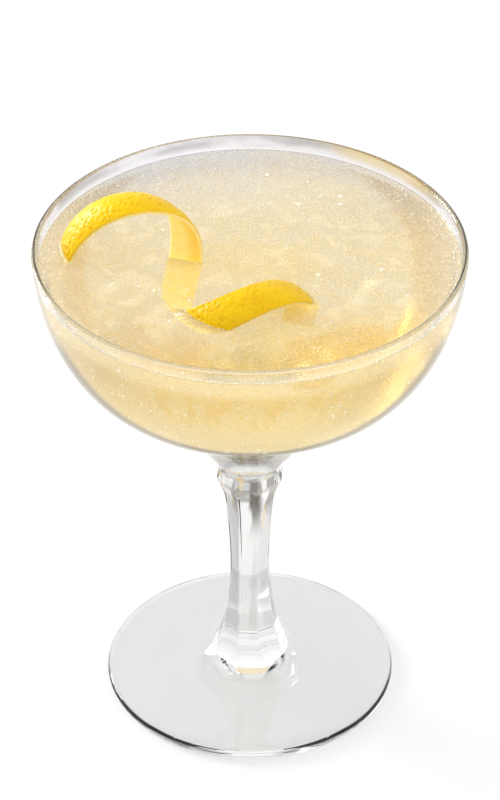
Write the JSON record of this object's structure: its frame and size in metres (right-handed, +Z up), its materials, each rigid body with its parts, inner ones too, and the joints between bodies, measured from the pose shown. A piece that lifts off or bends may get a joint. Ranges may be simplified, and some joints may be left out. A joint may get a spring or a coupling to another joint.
{
  "type": "cocktail in a coupe glass",
  "caption": "Sparkling gin and lemon cocktail, pale straw and fizzy, in a clear coupe with a cut stem, garnished with a curled strip of lemon peel floating at one side",
  "frame": {"origin": "on the ground at the middle of the foot", "axes": "+Z up along the stem, -Y towards the picture's viewer, +X to the viewer's right"},
  "size_m": [0.096, 0.096, 0.1319],
  "materials": {
    "clear_glass": "clear, fire-polished, with cut flats on the stem",
    "pale_drink": "cloudy pale straw liquid with fine bubbles",
    "lemon_zest": "pitted bright yellow zest outside, pale cream pith inside"
  },
  "bodies": {
    "root": {"glass": "clear_glass", "drink": "pale_drink", "lemon_twist": "lemon_zest"}
  },
  "joints": []
}
